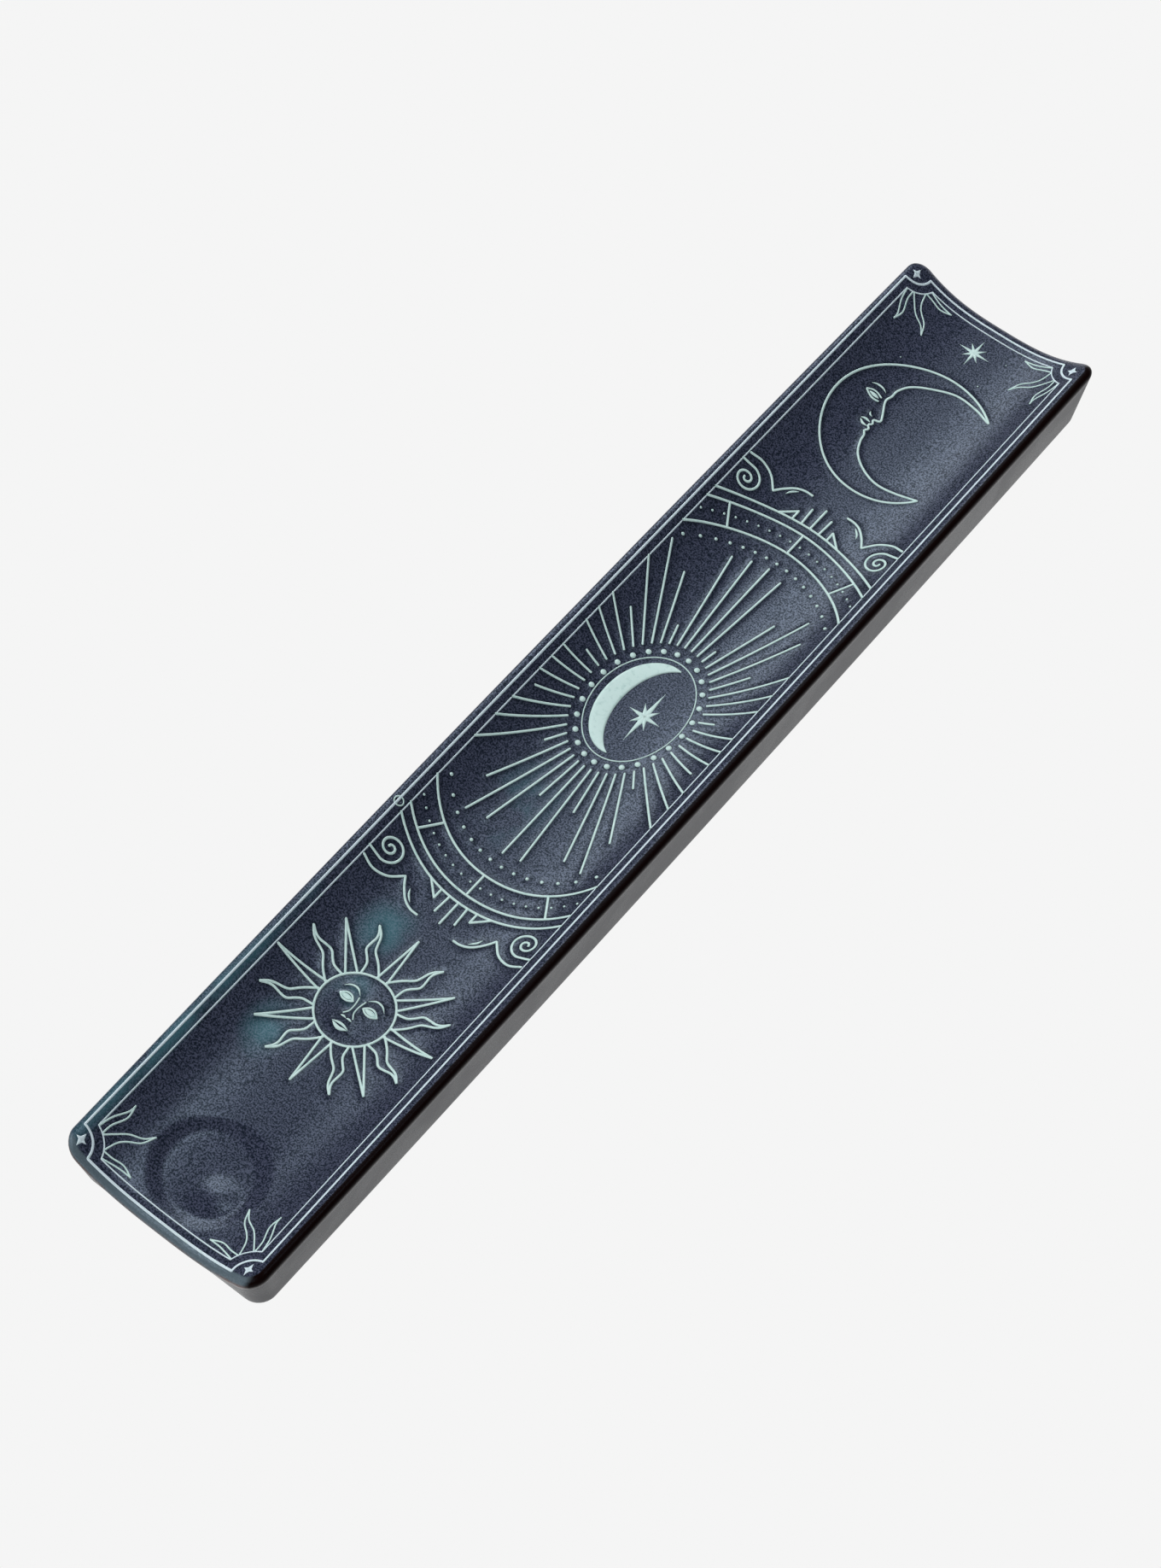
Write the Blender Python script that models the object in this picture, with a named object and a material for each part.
"""Incense stick tray: one long ceramic trough with a low boss in a round well at one end,
and the raised enamel line work that is fired onto its glaze, one solid for each motif.

Metres, +Z up. The origin is the centre of the underside. Y runs along the tray, from the end with
the well (-Y) to the end with the moon (+Y), and X runs across it.
"""

import math

import bmesh
import bpy
from mathutils import Vector

MM = 0.001

# Ceramic body
LENGTH = 259.2 * MM
WIDTH = 46.0 * MM
SIDE_BOW = 0.5 * MM
CORNER_RADIUS = 3.8 * MM
# The rim rolls over in a quarter ellipse: how far in it starts, and how far it falls
SHOULDER = 2.7 * MM
SIDE_FALL = 2.5 * MM
END_FALL = 2.0 * MM
# How far the walls lean in between the rim and the foot
SIDE_DRAFT = 1.1 * MM
END_DRAFT = 2.3 * MM
FOOT_CHAMFER = 0.35 * MM

# Trough: a flat-bottomed channel whose sides rise as a power of the distance from its middle
LIP_HEIGHT = 15.5 * MM
TROUGH_HALF = 22.3 * MM
TROUGH_DEPTH = 6.84 * MM
TROUGH_POWER = 2.8

# Round well at the near end, and the low boss that rises from its floor, off the middle
WELL_X = -0.2 * MM
WELL_Y = -115.85 * MM
WELL_RADIUS = 11.6 * MM
WELL_FLOOR = 7.6 * MM
WELL_DEPTH = 0.85 * MM
BOSS_X = 3.9 * MM
BOSS_Y = -118.7 * MM
BOSS_RADIUS = 5.8 * MM
BOSS_HEIGHT = 0.8 * MM

# Small round pit in the glaze of the left rim
PIT_X = -20.95 * MM
PIT_Y = -38.75 * MM
PIT_RADIUS = 0.7 * MM
PIT_DEPTH = 0.6 * MM

# The line work is centred on its own point, a little off the middle of the body
MOTIF_X = -0.6 * MM
MOTIF_Y = -0.55 * MM

# Enamel strokes
STROKE = 0.5 * MM
ENAMEL_GAP = 0.12 * MM
ENAMEL_HEIGHT = 0.25 * MM
DRAPE_STEP_X = 3.0 * MM
DRAPE_STEP_Y = 18.0 * MM
JOIN_GAP = 0.35 * MM

# Double border with concave corners struck from the outer border's own corners
BORDER_X = 20.52 * MM
BORDER_Y = 127.6 * MM
NOTCH_OUTER = 3.9 * MM
INNER_X = 18.85 * MM
INNER_Y = 126.0 * MM
NOTCH_INNER = 5.8 * MM
CORNER_STAR_IN_X = 1.25 * MM
CORNER_STAR_IN_Y = 1.5 * MM

# Middle panel, centred on the medallion
PANEL_Y = 8.92 * MM
ARCH_CENTRE = 23.3 * MM
ARCH_RADII = (23.7 * MM, 29.1 * MM, 31.25 * MM)
DIVIDER_X = 12.3 * MM
CROWN_HALF = 7.2 * MM
SWIRL_X = 16.0 * MM
SWIRL_OUT = 54.7 * MM
SWIRL_START = 3.0 * MM
SWIRL_END = 0.45 * MM
CLOUD_OUT = 59.6 * MM
# Points across and outwards along a cloud's edge, in millimetres
CLOUD_LOBE = ((18.2, -0.25), (15.9, 0.45), (13.1, -0.45), (10.8, -2.8))
CLOUD_TRAIL = ((10.8, -2.8), (9.5, -0.9), (7.8, 0.85), (6.0, 1.65), (4.3, 1.75))

# Sun
SUN_X = -0.45 * MM
SUN_Y = -74.6 * MM
SUN_RADIUS = 7.5 * MM
SUN_TIP = 18.0 * MM
SUN_RAY_HALF = 1.1 * MM
# A wavy ray's distance out from the ring, sideways shift and half width, in millimetres
FLAME = (
    (0.0, -0.45, 1.7),
    (2.0, -0.35, 1.15),
    (3.3, 0.1, 1.0),
    (4.9, 0.85, 0.88),
    (6.3, 0.62, 0.62),
    (7.5, 0.27, 0.36),
    (8.7, 0.3, 0.2),
    (10.1, 0.8, 0.0),
)

# Medallion
MEDALLION_X = -0.25 * MM
MEDALLION_RX = 9.35 * MM
MEDALLION_RY = 13.1 * MM

# Moon
MOON_X = 0.95 * MM
MOON_Y = 94.0 * MM
MOON_RX = 16.8 * MM
MOON_RY = 17.5 * MM

NAVY = (0.02, 0.025, 0.05, 1)
MINT = (0.55, 0.80, 0.74, 1)

OBJECT_NAME = "incense_tray"


def clear_scene():
    for obj in list(bpy.data.objects):
        bpy.data.objects.remove(obj, do_unlink=True)


def new_collection(name, hidden=False):
    collection = bpy.data.collections.new(name)
    bpy.context.scene.collection.children.link(collection)
    collection.hide_render = hidden
    return collection


def principled(name, colour, roughness):
    material = bpy.data.materials.new(name)
    material.use_nodes = True
    shader = material.node_tree.nodes["Principled BSDF"]
    shader.inputs["Base Color"].default_value = colour
    shader.inputs["Roughness"].default_value = roughness
    return material


# ---------------------------------------------------------------- ceramic body


def half_width(y):
    """Half the tray's width at y: the long sides bulge slightly, and the corners are round."""
    side = WIDTH / 2 - SIDE_BOW * (2 * y / LENGTH) ** 2
    past = abs(y) - (LENGTH / 2 - CORNER_RADIUS)
    if past <= 0:
        return side
    return side - CORNER_RADIUS + math.sqrt(max(0.0, CORNER_RADIUS**2 - past**2))


def edge_distance(x, y):
    """How far a point lies inside the outline, and how much the nearest edge belongs to an end (0 to 1)."""
    side = WIDTH / 2 - SIDE_BOW * (2 * y / LENGTH) ** 2
    across = abs(x) - (side - CORNER_RADIUS)
    along = abs(y) - (LENGTH / 2 - CORNER_RADIUS)
    if across > 0 and along > 0:
        reach = math.hypot(across, along)
        return CORNER_RADIUS - reach, (along / reach) ** 2
    return CORNER_RADIUS - max(across, along), 1.0 if along > across else 0.0


def well_drop(x, y):
    """Depth of the well below the trough: a level floor, a soft wall, and a low boss that is off the middle."""
    r = math.hypot(x - WELL_X, y - WELL_Y)
    if r >= WELL_RADIUS:
        return 0.0
    out = max(0.0, (r - WELL_FLOOR) / (WELL_RADIUS - WELL_FLOOR))
    drop = WELL_DEPTH * (0.5 + 0.5 * math.cos(math.pi * out))
    boss = min(1.0, math.hypot(x - BOSS_X, y - BOSS_Y) / BOSS_RADIUS)
    return drop - BOSS_HEIGHT * (0.5 + 0.5 * math.cos(math.pi * boss)) * (1 - out)


def glaze_height(x, y):
    """Height of the glazed upper surface, without the rounding of the rim."""
    trough = TROUGH_DEPTH * (1 - (abs(x) / TROUGH_HALF) ** TROUGH_POWER)
    return LIP_HEIGHT - trough - well_drop(x, y)


def top_height(x, y):
    inside, end_share = edge_distance(x, y)
    if inside >= SHOULDER:
        return glaze_height(x, y)
    drop = SIDE_FALL + (END_FALL - SIDE_FALL) * end_share
    lean = 1 - max(0.0, inside) / SHOULDER
    return glaze_height(x, y) - drop * (1 - math.sqrt(max(0.0, 1 - lean**2)))


def spread(span, edge_steps, inner_steps):
    """Stations from -span to span: close together at the two edges, even between them."""
    inner = span - edge_steps[-1]
    middle = [inner * (2 * i / inner_steps - 1) for i in range(1, inner_steps)]
    low = [-span + step for step in edge_steps]
    return low + middle + [-value for value in reversed(low)]


def rim_steps(count):
    """Distances in from the edge that divide the rim's quarter round evenly."""
    return [SHOULDER * (1 - math.cos(math.pi / 2 * i / count)) for i in range(count + 1)]


def length_stations():
    """Rows along the tray: close over the two rims and the well, wider between."""
    corner = [SHOULDER + (CORNER_RADIUS - SHOULDER) * i / 2 for i in (1, 2)]
    edge = rim_steps(4) + corner
    near = [-LENGTH / 2 + step for step in edge]
    far = [-y for y in reversed(near)]
    well_end = WELL_Y + WELL_RADIUS
    fine = [near[-1] + (well_end - near[-1]) * i / 15 for i in range(1, 16)]
    rest = [well_end + (far[0] - well_end) * i / 15 for i in range(1, 15)]
    return near + fine + rest + far


def tray_body(collection, cutters, material):
    rows = length_stations()
    columns = 26
    edge = rim_steps(4)
    bm = bmesh.new()
    bmesh.ops.create_grid(bm, x_segments=columns + 2 * len(edge) - 2, y_segments=len(rows) - 1, size=1)
    across = sorted({round(v.co.x, 5) for v in bm.verts})
    along = sorted({round(v.co.y, 5) for v in bm.verts})
    column_of = {x: i for i, x in enumerate(across)}
    row_of = {y: i for i, y in enumerate(along)}
    for v in bm.verts:
        y = rows[row_of[round(v.co.y, 5)]]
        x = spread(half_width(y), edge, columns)[column_of[round(v.co.x, 5)]]
        v.co = (x, y, top_height(x, y))
    skirt_down(bm)
    mesh = bpy.data.meshes.new("tray_body")
    bm.to_mesh(mesh)
    bm.free()
    body = bpy.data.objects.new("tray_body", mesh)
    collection.objects.link(body)
    mesh.materials.append(material)
    cut = body.modifiers.new("rim_pit", "BOOLEAN")
    cut.operation = "DIFFERENCE"
    cut.object = pit_cutter(cutters)
    mesh.shade_smooth()
    mesh.set_sharp_from_angle(angle=math.radians(40))


def skirt_down(bm):
    """The leaning walls, the chamfer at their foot and the flat underside, below the open upper surface."""
    wall = (FOOT_CHAMFER, SIDE_DRAFT, END_DRAFT)
    chamfer = (0.0, FOOT_CHAMFER, FOOT_CHAMFER)
    for height, in_x, in_y in (wall, chamfer):
        loop = [e for e in bm.edges if e.is_boundary]
        made = bmesh.ops.extrude_edge_only(bm, edges=loop)["geom"]
        for v in (g for g in made if isinstance(g, bmesh.types.BMVert)):
            v.co = (v.co.x * (1 - 2 * in_x / WIDTH), v.co.y * (1 - 2 * in_y / LENGTH), height)
    bmesh.ops.contextual_create(bm, geom=[e for e in bm.edges if e.is_boundary])
    bmesh.ops.recalc_face_normals(bm, faces=bm.faces)


def pit_cutter(cutters):
    bm = bmesh.new()
    bmesh.ops.create_cone(
        bm, cap_ends=True, segments=12, radius1=PIT_RADIUS, radius2=PIT_RADIUS, depth=2 * PIT_DEPTH
    )
    mesh = bpy.data.meshes.new("rim_pit_cutter")
    bm.to_mesh(mesh)
    bm.free()
    cutter = bpy.data.objects.new("rim_pit_cutter", mesh)
    cutters.objects.link(cutter)
    cutter.location = (PIT_X, PIT_Y, glaze_height(PIT_X, PIT_Y))
    cutter.hide_render = True
    cutter.display_type = "WIRE"
    return cutter


# ---------------------------------------------------------------- outlines in plan


def arc_points(cx, cy, rx, ry, start, end, steps):
    """Points on an ellipse's arc; the angles are in degrees from +X towards +Y."""
    angles = [math.radians(start + (end - start) * i / steps) for i in range(steps + 1)]
    return [Vector((cx + rx * math.cos(a), cy + ry * math.sin(a))) for a in angles]


def smooth_path(points, per_span=3):
    """A Catmull-Rom curve through the points."""
    p = [Vector(q) for q in points]
    p = [2 * p[0] - p[1]] + p + [2 * p[-1] - p[-2]]
    out = []
    for a, b, c, d in zip(p, p[1:], p[2:], p[3:]):
        for i in range(per_span):
            t = i / per_span
            square = 2 * a - 5 * b + 4 * c - d
            cube = 3 * b - a - 3 * c + d
            out.append((2 * b + (c - a) * t + square * t**2 + cube * t**3) / 2)
    return out + [p[-2]]


def offset_side(points, distance, closed):
    """The polyline moved sideways, its corners mitred."""
    out = []
    count = len(points)
    for i, p in enumerate(points):
        before = points[i - 1] if closed or i else None
        after = points[(i + 1) % count] if closed or i < count - 1 else None
        ways = [(p - before).normalized()] if before is not None else []
        ways += [(after - p).normalized()] if after is not None else []
        normal = sum((Vector((-w.y, w.x)) for w in ways), Vector((0, 0))).normalized()
        stretch = 1 / max(0.45, normal.dot(Vector((-ways[0].y, ways[0].x))))
        out.append(p + normal * distance * stretch)
    return out


def ribbon(points, closed=False, width=STROKE):
    """The outline, or the two outlines, of a stroke of even width along the points."""
    left = offset_side(points, width / 2, closed)
    right = offset_side(points, -width / 2, closed)
    return [left, right] if closed else [left + right[::-1]]


def star_points(cx, cy, radii, inner):
    """A pointed star: radii is the reach in X and in Y of each point in turn, from +X round."""
    out = []
    count = len(radii)
    for i, (rx, ry) in enumerate(radii):
        a = 2 * math.pi * i / count
        b = 2 * math.pi * (i + 0.5) / count
        out.append(Vector((cx + rx * math.cos(a), cy + ry * math.sin(a))))
        out.append(Vector((cx + inner * math.cos(b), cy + inner * math.sin(b))))
    return out


# ---------------------------------------------------------------- enamel solids


def flat_mesh(name, outlines):
    """A slab over z = 0, filled between the outlines."""
    curve = bpy.data.curves.new(name, "CURVE")
    curve.dimensions = "2D"
    curve.fill_mode = "BOTH"
    curve.extrude = ENAMEL_HEIGHT / 2
    for outline in outlines:
        spline = curve.splines.new("POLY")
        spline.points.add(len(outline) - 1)
        for point, p in zip(spline.points, outline):
            point.co = (p.x, p.y, 0, 1)
        spline.use_cyclic_u = True
    guide = bpy.data.objects.new(name + "_outline", curve)
    bpy.context.scene.collection.objects.link(guide)
    graph = bpy.context.evaluated_depsgraph_get()
    mesh = bpy.data.meshes.new_from_object(guide.evaluated_get(graph))
    bpy.data.objects.remove(guide, do_unlink=True)
    bm = bmesh.new()
    bm.from_mesh(mesh)
    bmesh.ops.remove_doubles(bm, verts=bm.verts, dist=1e-6)
    bmesh.ops.recalc_face_normals(bm, faces=bm.faces)
    bm.to_mesh(mesh)
    bm.free()
    return mesh


def joined_mesh(name, strokes, cutters):
    """One mesh from strokes that cross: each is a slab, and a Boolean joins them."""
    group = bpy.data.collections.new(name + "_strokes")
    cutters.children.link(group)
    first = None
    for i, outlines in enumerate(strokes):
        piece = bpy.data.objects.new(f"{name}_stroke_{i}", flat_mesh(f"{name}_{i}", outlines))
        piece.hide_render = True
        piece.display_type = "WIRE"
        if first is None:
            first = piece
            cutters.objects.link(piece)
        else:
            group.objects.link(piece)
    join = first.modifiers.new("join", "BOOLEAN")
    join.operation = "UNION"
    join.operand_type = "COLLECTION"
    join.collection = group
    graph = bpy.context.evaluated_depsgraph_get()
    mesh = bpy.data.meshes.new_from_object(first.evaluated_get(graph))
    for piece in list(group.objects) + [first]:
        bpy.data.objects.remove(piece, do_unlink=True)
    bpy.data.collections.remove(group)
    return mesh


def cut_evenly(bm, step, axis):
    """Cuts the slab by parallel planes at even steps along one axis of the plan."""
    reach = max(abs(v.co.dot(axis)) for v in bm.verts)
    count = int(reach / step) + 1
    for i in range(-count, count + 1):
        bmesh.ops.bisect_plane(
            bm,
            geom=bm.verts[:] + bm.edges[:] + bm.faces[:],
            dist=1e-6,
            plane_co=axis * (i * step),
            plane_no=axis,
        )


def drape(mesh):
    """Moves the slab to its place on the tray and lays it on the glaze, clear of it by a small gap."""
    bm = bmesh.new()
    bm.from_mesh(mesh)
    cut_evenly(bm, DRAPE_STEP_X, Vector((1, 0, 0)))
    cut_evenly(bm, DRAPE_STEP_Y, Vector((0, 1, 0)))
    bmesh.ops.remove_doubles(bm, verts=bm.verts, dist=2e-6)
    bmesh.ops.triangulate(bm, faces=bm.faces)
    for v in bm.verts:
        x = v.co.x + MOTIF_X
        y = v.co.y + MOTIF_Y
        rise = ENAMEL_GAP + (ENAMEL_HEIGHT if v.co.z > 0 else 0.0)
        v.co = (x, y, top_height(x, y) + rise)
    bm.to_mesh(mesh)
    bm.free()


def enamel(name, strokes, collection, cutters, material):
    mesh = flat_mesh(name, strokes[0]) if len(strokes) == 1 else joined_mesh(name, strokes, cutters)
    drape(mesh)
    obj = bpy.data.objects.new(name, mesh)
    collection.objects.link(obj)
    mesh.materials.clear()
    mesh.materials.append(material)


# ---------------------------------------------------------------- motifs


def border(half_x, half_y, notch):
    """A rectangle whose corners are scooped out by circles about the outer border's corners."""
    start = math.degrees(math.asin((BORDER_X - half_x) / notch))
    end = math.degrees(math.acos((BORDER_Y - half_y) / notch))
    quarter = arc_points(BORDER_X, BORDER_Y, notch, notch, 270 - start, 270 - end, 5)
    turned = []
    for sx, sy in ((1, 1), (-1, 1), (-1, -1), (1, -1)):
        points = [Vector((sx * p.x, sy * p.y)) for p in quarter]
        turned += points if sx * sy > 0 else points[::-1]
    return [ribbon(turned, closed=True)]


def corner_star(sx, sy):
    x = sx * (BORDER_X - CORNER_STAR_IN_X)
    y = sy * (BORDER_Y - CORNER_STAR_IN_Y)
    reach = (0.9 * MM, 1.15 * MM)
    return [[star_points(x, y, [reach] * 4, 0.36 * MM)]]


def blade(stations):
    """A hollow tapering stroke: each station is its distance out, its sideways shift and its half width."""
    outer = STROKE / 2
    rooted = [(stations[0][0] - 0.15 * MM, *stations[0][1:])] + list(stations[1:])
    left = [Vector((side - half - outer, out)) for out, side, half in rooted]
    right = [Vector((side + half + outer, out)) for out, side, half in rooted]
    open_stations = [s for s in stations if s[2] > outer + 0.04 * MM]
    hole_left = [Vector((side - half + outer, out)) for out, side, half in open_stations]
    hole_right = [Vector((side + half - outer, out)) for out, side, half in open_stations]
    return [left + right[::-1], hole_left + hole_right[::-1]]


def sun_ray(turn):
    """A straight hollow ray, rooted in the ring."""
    reach = SUN_TIP - SUN_RADIUS
    stations = [(SUN_RADIUS + reach * t, 0.0, SUN_RAY_HALF * (1 - t)) for t in (0, 0.7, 1)]
    return turned_outlines(blade(stations), turn, 1)


def sun_flame(turn, side):
    """A wavy hollow ray, rooted in the ring: it swings out and back, and its tip flicks outwards."""
    stations = [(SUN_RADIUS + out * MM, across * MM, half * MM) for out, across, half in FLAME]
    return turned_outlines(blade(stations), turn, side)


def turned_outlines(outlines, turn, side):
    return [[turned_point(side * p.x, p.y, turn) for p in outline] for outline in outlines]


def turned_point(x, y, degrees):
    """A point given from the sun's centre with +Y along the ray, turned clockwise."""
    a = math.radians(degrees)
    return Vector((SUN_X + x * math.cos(a) + y * math.sin(a), SUN_Y - x * math.sin(a) + y * math.cos(a)))


def sun():
    strokes = [ribbon(arc_points(SUN_X, SUN_Y, SUN_RADIUS, SUN_RADIUS, 0, 350, 35), closed=True)]
    strokes += [sun_ray(45 * i) for i in range(8)]
    for i in range(4):
        strokes += [sun_flame(90 * i + 22.5, 1), sun_flame(90 * i + 67.5, -1)]
    return strokes


def arch_reach(radius):
    """Half the angle that an arch covers between the two long lines of the inner border."""
    return math.degrees(math.asin((INNER_X - STROKE / 2 - JOIN_GAP) / radius))


def arch(radius, end):
    reach = arch_reach(radius)
    centre = PANEL_Y + end * ARCH_CENTRE
    return ribbon(arc_points(0, centre, radius, end * radius, 90 - reach, 90 + reach, 16))


def divider(end, x):
    """A short stroke across the band between the first two arches, square to them."""
    inner = ARCH_RADII[0]
    outer = ARCH_RADII[1]
    lean = math.asin(x / inner)
    ends = [(r * math.sin(lean), r * math.cos(lean)) for r in (inner, outer)]
    centre = PANEL_Y + end * ARCH_CENTRE
    return ribbon([Vector((px, centre + end * py)) for px, py in ends])


def arch_band(end):
    return [arch(ARCH_RADII[0], end), arch(ARCH_RADII[1], end)] + [
        divider(end, x) for x in (-DIVIDER_X, 0, DIVIDER_X)
    ]


def arch_crown(end):
    """The outer arch with its crown: two small triangles and three upright strokes."""
    radius = ARCH_RADII[2]
    centre = PANEL_Y + end * ARCH_CENTRE

    def on(x, above):
        return Vector((x, centre + end * (math.sqrt(radius**2 - x**2) + above)))

    strokes = [arch(radius, end)]
    for side in (-1, 1):
        tip = on(side * 4.2 * MM, 2.3 * MM)
        strokes.append(ribbon([on(side * CROWN_HALF, 0), tip, on(side * 4.2 * MM, 0)]))
        strokes.append(ribbon([on(side * 2.1 * MM, 0), on(side * 2.35 * MM, 4.2 * MM)]))
    strokes.append(ribbon([on(0, 0), on(0, 5.6 * MM)]))
    return strokes


def swirl(end, side):
    """A spiral that runs in from the inner border and tightens as it turns."""
    x = side * SWIRL_X
    y = PANEL_Y + end * SWIRL_OUT
    turns = 1.75
    steps = 24
    out = [Vector((side * (INNER_X - STROKE / 2 - JOIN_GAP), y + end * (SWIRL_START - 0.4 * MM)))]
    for i in range(steps + 1):
        a = 2 * math.pi * turns * i / steps
        r = SWIRL_END + (SWIRL_START - SWIRL_END) * (1 - i / steps) ** 1.4
        out.append(Vector((x - side * r * math.sin(a), y + end * r * math.cos(a))))
    return [ribbon(out)]


def cloud(end, side):
    """The cloud's edge: a lobe from the border, a sharp valley, and a second lobe that trails inwards."""
    base = PANEL_Y + end * CLOUD_OUT
    lobe = smooth_path([(x * MM, y * MM) for x, y in CLOUD_LOBE])
    trail = smooth_path([(x * MM, y * MM) for x, y in CLOUD_TRAIL])
    return [ribbon([Vector((side * p.x, base + end * p.y)) for p in lobe + trail[1:]])]


def medallion_crescent():
    """A solid crescent between two ellipses that cross on the medallion's axis."""
    outer = arc_points(MEDALLION_X, PANEL_Y, 7.95 * MM, 11.9 * MM, 82, 278, 22)
    inner = arc_points(3.3 * MM, PANEL_Y, 7.6 * MM, 12.2 * MM, 252, 108, 18)
    return [[outer + inner]]


def medallion_star():
    reach = [(3.5, 3.5), (2.4, 3.6), (6.6, 6.6), (2.4, 3.6)] * 2
    radii = [(rx * MM, ry * MM) for rx, ry in reach]
    return [[star_points(1.6 * MM, PANEL_Y - 0.75 * MM, radii, 0.85 * MM)]]


def far_star():
    reach = [(3.5, 3.5), (2.5, 2.6), (3.7, 3.7), (2.5, 2.6)] * 2
    radii = [(rx * MM, ry * MM) for rx, ry in reach]
    return [[star_points(-0.2 * MM, 120.3 * MM, radii, 1.0 * MM)]]


def moon():
    """The crescent moon's outline: a round back, and a calm profile between its two horns."""
    back = arc_points(MOON_X, MOON_Y, MOON_RX, MOON_RY, 45, 315, 36)
    lower = [(11.6, -12.5), (4.5, -13.4), (0.0, -12.2), (-3.4, -9.7), (-4.9, -6.9), (-5.3, -5.0)]
    mouth = [(-5.9, -4.1), (-5.4, -3.3), (-6.1, -2.5), (-5.5, -1.8), (-6.0, -0.9)]
    nose = [(-4.7, -0.3), (-5.2, 1.2), (-6.8, 4.4)]
    brow = [(-6.5, 6.2), (-6.4, 8.2), (-5.0, 10.7), (-1.8, 12.9), (3.4, 14.9), (8.4, 14.3)]
    profile = [Vector((x * MM, MOON_Y + y * MM)) for x, y in lower + mouth + nose + brow]
    inner = smooth_path(profile, 2)
    outline = offset_side(back + inner[1:-1], -STROKE / 2, True)
    open_back = back[3:-3]
    open_inner = [p for p in inner if p.x < 8.5 * MM]
    hole = offset_side(open_back + open_inner, STROKE / 2, True)
    return [[outline, hole]]


def main():
    clear_scene()
    parts = new_collection(OBJECT_NAME)
    cutters = new_collection("cutters", hidden=True)
    tray_body(parts, cutters, principled("navy_glaze", NAVY, 0.35))
    mint = principled("mint_enamel", MINT, 0.5)

    motifs = {
        "border_outer_line": border(BORDER_X, BORDER_Y, NOTCH_OUTER),
        "border_inner_line": border(INNER_X, INNER_Y, NOTCH_INNER),
        "sun_ring_and_rays": sun(),
        "medallion_ring": [
            ribbon(arc_points(MEDALLION_X, PANEL_Y, MEDALLION_RX, MEDALLION_RY, 0, 352, 44), closed=True)
        ],
        "medallion_crescent": medallion_crescent(),
        "medallion_star": medallion_star(),
        "moon_outline": moon(),
        "far_star": far_star(),
    }
    for end, end_name in ((-1, "near"), (1, "far")):
        motifs[end_name + "_arch_band"] = arch_band(end)
        motifs[end_name + "_arch_crown"] = arch_crown(end)
        for side, side_name in ((-1, "left"), (1, "right")):
            place = f"{end_name}_{side_name}"
            motifs[place + "_swirl"] = swirl(end, side)
            motifs[place + "_cloud"] = cloud(end, side)
            motifs[place + "_corner_star"] = corner_star(side, end)
    for name, strokes in motifs.items():
        enamel(name, strokes, parts, cutters, mint)


main()
